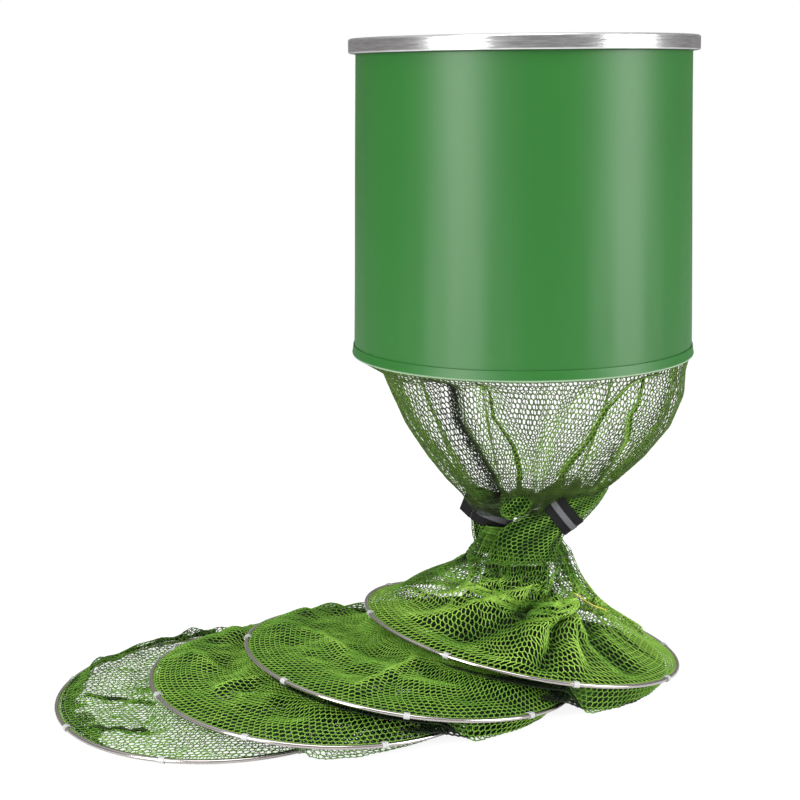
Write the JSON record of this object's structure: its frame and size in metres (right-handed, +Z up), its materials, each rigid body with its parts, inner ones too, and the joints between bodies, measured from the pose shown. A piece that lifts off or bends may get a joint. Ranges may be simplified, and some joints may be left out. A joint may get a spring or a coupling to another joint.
{
  "type": "fishing keepnet",
  "caption": "Keepnet with a rigid metal mouth on a coated tube sleeve, a strapped net neck, and a collapsible net basket held open by wire rings.",
  "frame": {"origin": "centre of the last ring, at ground level, on the underside of the base net", "axes": "+Z up along the collar's axis and out of the mouth, +X from the last ring towards the first, -Y towards the viewer"},
  "size_m": [0.7724, 0.5116, 0.778],
  "materials": {
    "rim_aluminium": "brushed along the band",
    "liner_aluminium": "mill",
    "rivet_steel": "flush",
    "gasket_rubber": "matt",
    "coated_fabric": "smooth coated, satin",
    "hoop_wire": "drawn wire",
    "hem_tape": "woven tape",
    "neck_net": "knotless net",
    "basket_net": "knotless net",
    "strap_webbing": "hook-and-loop webbing",
    "stripe_webbing": "woven stripe",
    "ring_wire": "polished wire",
    "lacing_cord": "twisted cord",
    "clip_plastic": "moulded"
  },
  "bodies": {
    "basket_base": {"ring_4": "ring_wire", "lacing_4": "lacing_cord", "clips_4": "clip_plastic", "base_net": "basket_net", "net_section_3": "basket_net"},
    "basket_ring_3": {"ring_3": "ring_wire", "lacing_3": "lacing_cord", "clips_3": "clip_plastic", "net_section_2": "basket_net"},
    "basket_ring_2": {"ring_2": "ring_wire", "lacing_2": "lacing_cord", "clips_2": "clip_plastic", "net_section_1": "basket_net"},
    "basket_ring_1": {"ring_1": "ring_wire", "lacing_1": "lacing_cord", "clips_1": "clip_plastic", "neck_lower_net": "neck_net"},
    "neck": {"neck_gather_right": "neck_net", "neck_gather_left": "neck_net", "neck_gather_front": "neck_net", "strap_right_band": "strap_webbing", "strap_right_stripe": "stripe_webbing", "strap_left_band": "strap_webbing", "strap_left_stripe": "stripe_webbing", "neck_upper_net": "neck_net"},
    "collar": {"rim_band": "rim_aluminium", "rim_liner": "liner_aluminium", "rim_splice": "liner_aluminium", "rim_rivets": "rivet_steel", "rim_gasket": "gasket_rubber", "sleeve": "coated_fabric", "sleeve_seam": "coated_fabric", "hem_hoop": "hoop_wire", "hem_binding": "hem_tape"},
    "strap_right_end": {"strap_right_tab": "strap_webbing"},
    "strap_left_end": {"strap_left_tab": "strap_webbing"}
  },
  "joints": [
    {"name": "lift_3", "type": "slide", "parent": "basket_base", "child": "basket_ring_3", "axis": [0, 0, 1], "range_m": [0, 0.24], "deforming": ["net_section_3"]},
    {"name": "lift_2", "type": "slide", "parent": "basket_ring_3", "child": "basket_ring_2", "axis": [0, 0, 1], "range_m": [0, 0.24], "deforming": ["net_section_2"]},
    {"name": "lift_1", "type": "slide", "parent": "basket_ring_2", "child": "basket_ring_1", "axis": [0, 0, 1], "range_m": [0, 0.24], "deforming": ["net_section_1"]},
    {"name": "neck_lift", "type": "slide", "parent": "basket_ring_1", "child": "neck", "axis": [0, 0, 1], "range_m": [0, 0.15], "deforming": ["neck_lower_net"]},
    {"name": "collar_lift", "type": "slide", "parent": "neck", "child": "collar", "axis": [0, 0, 1], "range_m": [0, 0.15], "deforming": ["neck_upper_net"]},
    {"name": "strap_right_peel", "type": "hinge", "parent": "neck", "child": "strap_right_end", "pos_m": [0.40515, 0.07587, 0.2206], "axis": [0.788, 0, 0.6157], "range_deg": [0, 100]},
    {"name": "strap_left_peel", "type": "hinge", "parent": "neck", "child": "strap_left_end", "pos_m": [0.30773, 0.096, 0.20632], "axis": [0.3584, 0, 0.9336], "range_deg": [-20, 60]}
  ]
}
